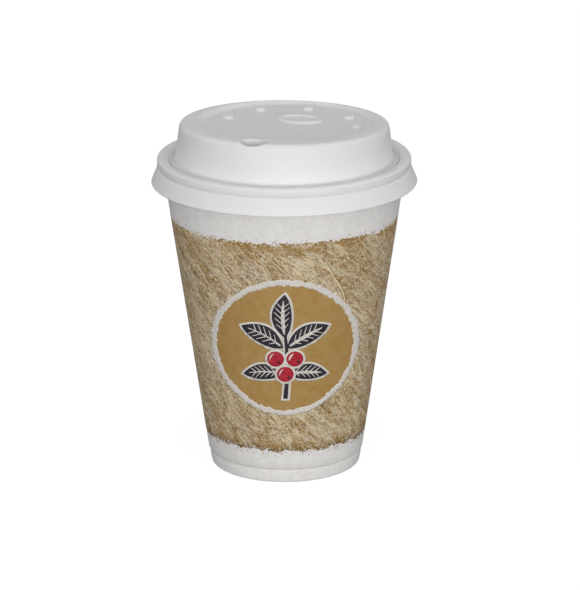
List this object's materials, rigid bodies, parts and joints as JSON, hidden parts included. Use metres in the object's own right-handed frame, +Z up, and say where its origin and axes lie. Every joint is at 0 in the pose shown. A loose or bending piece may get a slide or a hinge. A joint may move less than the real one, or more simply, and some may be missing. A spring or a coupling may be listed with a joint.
{
  "type": "foam cup",
  "caption": "Tapered hot drink cup of moulded foam with a printed band and medallion, closed by a push-fit sip lid with a raised dome that lifts off.",
  "frame": {"origin": "centre of the standing ring, on the table plane", "axes": "+Z up along the cup's axis; -Y is the side with the printed medallion; the mouthpiece of the lid lies 16.5 degrees from -Y towards -X"},
  "size_m": [0.096, 0.096, 0.1291],
  "materials": {
    "foam": "moulded bead foam, satin",
    "ink_band": "mottled tan print on foam",
    "ink_panel": "ochre brown print on foam",
    "ink_pale": "white print on foam",
    "ink_dark": "charcoal print on foam",
    "ink_red": "red print on foam",
    "lid_sheet": "thermoformed polystyrene sheet, soft gloss"
  },
  "bodies": {
    "cup": {"cup": "foam", "printed_band": "ink_band", "printed_panel": "ink_panel", "printed_border": "ink_pale", "printed_leaves": "ink_dark", "printed_cherries": "ink_red"},
    "lid": {"lid": "lid_sheet"}
  },
  "joints": [
    {"name": "lid_lift", "type": "slide", "parent": "cup", "child": "lid", "axis": [0, 0, 1], "range_m": [0, 0.02]}
  ]
}
